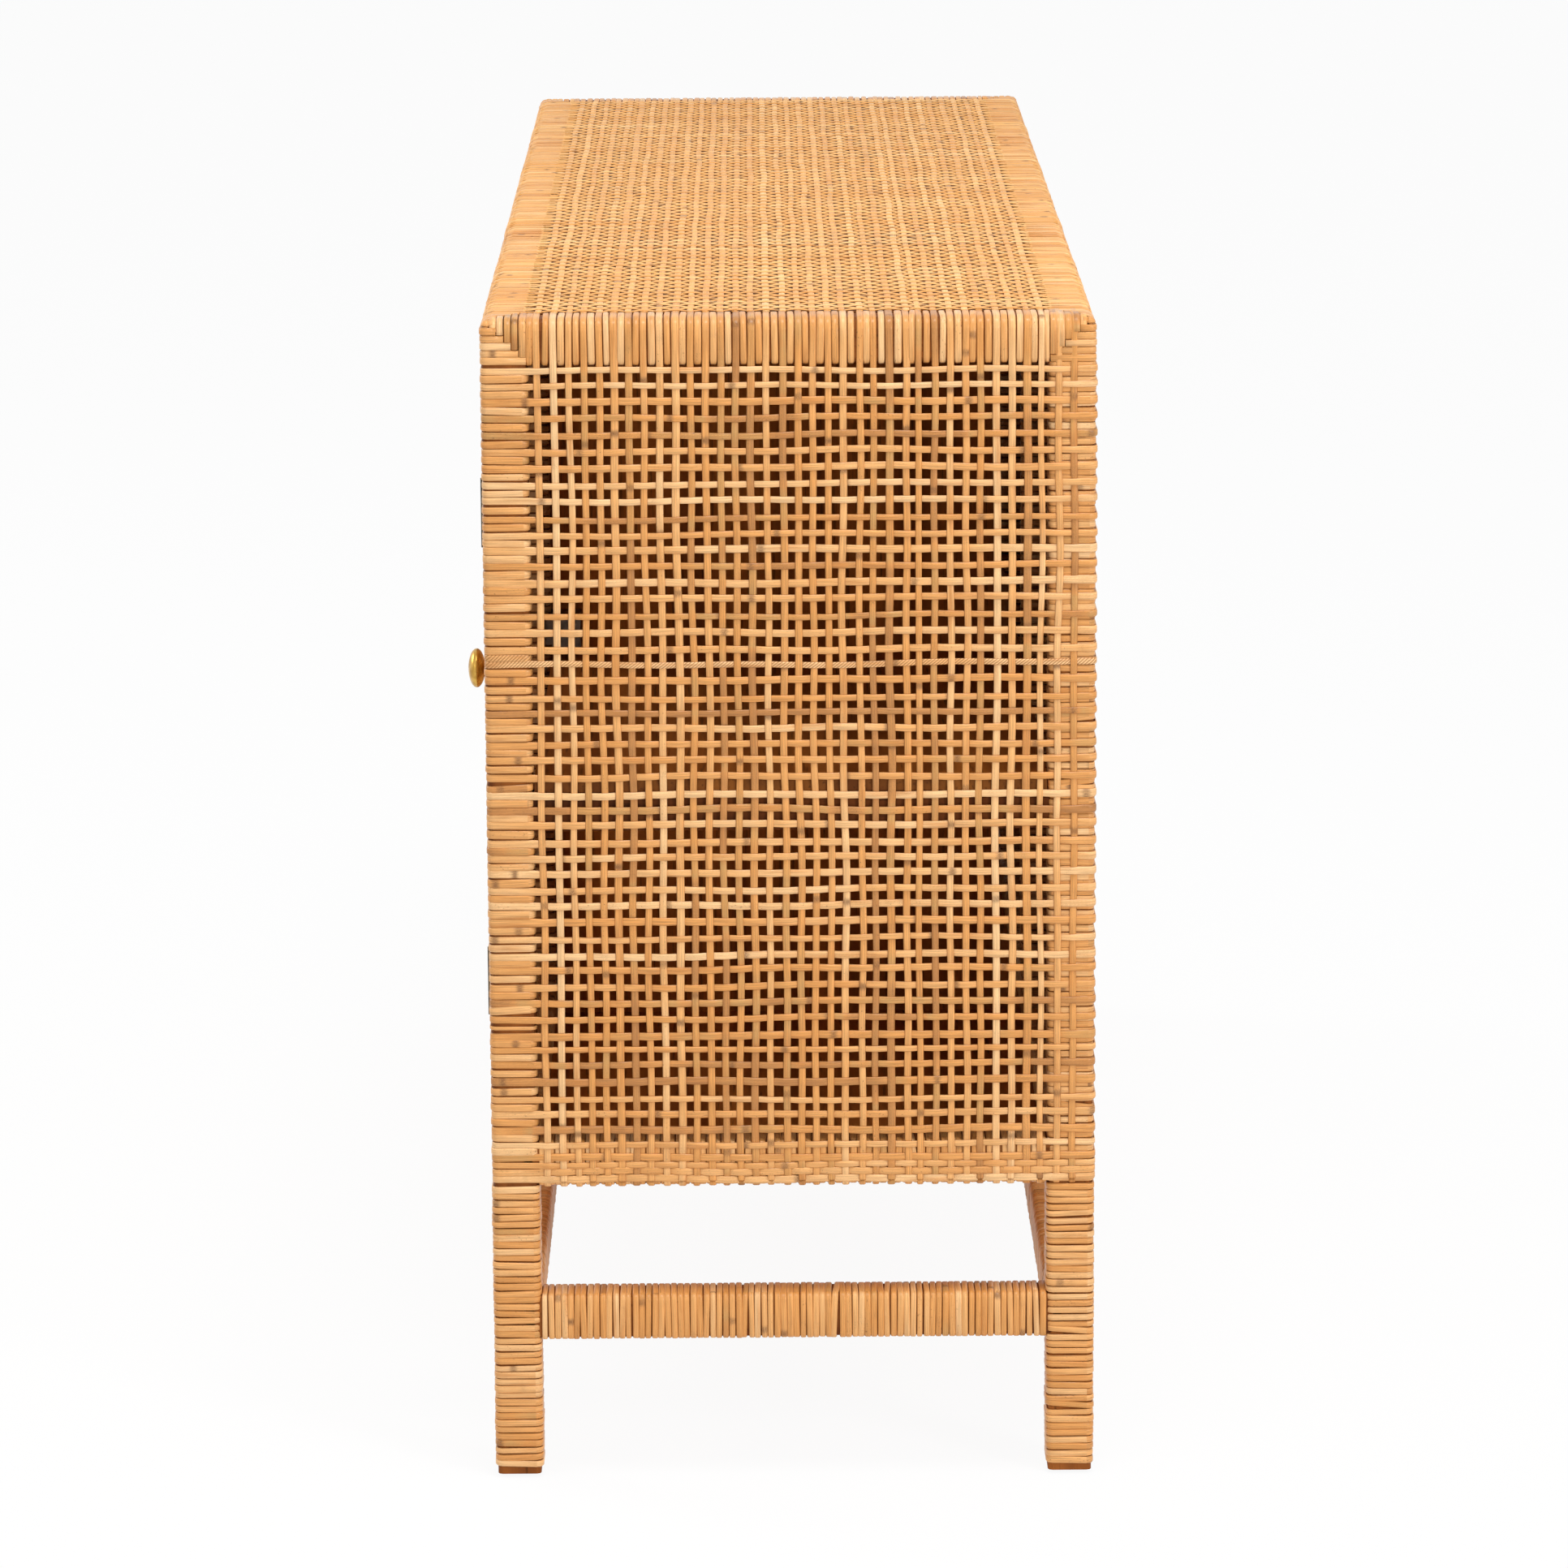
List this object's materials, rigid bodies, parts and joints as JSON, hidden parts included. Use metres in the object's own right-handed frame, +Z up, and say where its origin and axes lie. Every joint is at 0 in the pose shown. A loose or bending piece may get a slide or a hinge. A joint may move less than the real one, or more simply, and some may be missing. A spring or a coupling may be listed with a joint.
{
  "type": "rattan storage cabinet",
  "caption": "Long low storage cabinet on wrapped legs: dark wood frame bound and woven with split rattan, open woven ends, framed woven doors with brass knobs, a shelf in every bay.",
  "frame": {"origin": "middle of the footprint at floor level, the knobs included", "axes": "+X along the length to the end that the picture shows, -Y out of the doors, +Z up"},
  "size_m": [1.32, 0.4276, 0.782],
  "materials": {
    "rattan": "split rattan strips, clear satin lacquer",
    "dark_wood": "brown stained wood, satin",
    "antique_brass": "aged satin brass",
    "dark_bronze": "dark bronze plated steel",
    "zinc_steel": "zinc plated steel",
    "glide_brown": "dark brown nylon"
  },
  "bodies": {
    "carcass": {"back_board": "dark_wood", "back_weave": "rattan", "bottom_board": "dark_wood", "bottom_rail_wraps": "rattan", "bottom_rails_end": "dark_wood", "bottom_rails_long": "dark_wood", "catches": "zinc_steel", "end_weave_left": "rattan", "end_weave_right": "rattan", "hinge_leaves_frame": "dark_bronze", "hinge_pins": "dark_bronze", "inner_post_wraps": "rattan", "inner_posts_back": "dark_wood", "inner_posts_front": "dark_wood", "leg_glides": "glide_brown", "leg_post_back_left": "dark_wood", "leg_post_back_right": "dark_wood", "leg_post_front_left": "dark_wood", "leg_post_front_right": "dark_wood", "mid_rails_end": "dark_wood", "partition_left": "dark_wood", "partition_right": "dark_wood", "post_wraps": "rattan", "shelf_cleats": "dark_wood", "shelf_left": "dark_wood", "shelf_middle": "dark_wood", "shelf_right": "dark_wood", "stretcher_wraps": "rattan", "stretchers_end": "dark_wood", "stretchers_long": "dark_wood", "top_board": "dark_wood", "top_rail_wraps": "rattan", "top_rails_end": "dark_wood", "top_rails_long": "dark_wood", "top_weave": "rattan"},
    "door_right": {"door_right_hinge_leaves": "dark_bronze", "door_right_knob": "antique_brass", "door_right_knob_screw": "zinc_steel", "door_right_rails": "dark_wood", "door_right_stiles": "dark_wood", "door_right_strike_plate": "zinc_steel", "door_right_weave": "rattan", "door_right_wrap": "rattan"},
    "door_middle": {"door_middle_hinge_leaves": "dark_bronze", "door_middle_knob": "antique_brass", "door_middle_knob_screw": "zinc_steel", "door_middle_rails": "dark_wood", "door_middle_stiles": "dark_wood", "door_middle_strike_plate": "zinc_steel", "door_middle_weave": "rattan", "door_middle_wrap": "rattan"},
    "door_left": {"door_left_hinge_leaves": "dark_bronze", "door_left_knob": "antique_brass", "door_left_knob_screw": "zinc_steel", "door_left_rails": "dark_wood", "door_left_stiles": "dark_wood", "door_left_strike_plate": "zinc_steel", "door_left_weave": "rattan", "door_left_wrap": "rattan"}
  },
  "joints": [
    {"name": "door_right_hinge", "type": "hinge", "parent": "carcass", "child": "door_right", "pos_m": [0.6267, -0.18585, 0.4915], "axis": [0, 0, 1], "range_deg": [0, 110]},
    {"name": "door_middle_hinge", "type": "hinge", "parent": "carcass", "child": "door_middle", "pos_m": [0.19737, -0.18585, 0.4915], "axis": [0, 0, 1], "range_deg": [0, 110]},
    {"name": "door_left_hinge", "type": "hinge", "parent": "carcass", "child": "door_left", "pos_m": [-0.6267, -0.18585, 0.4915], "axis": [0, 0, -1], "range_deg": [0, 110]}
  ]
}
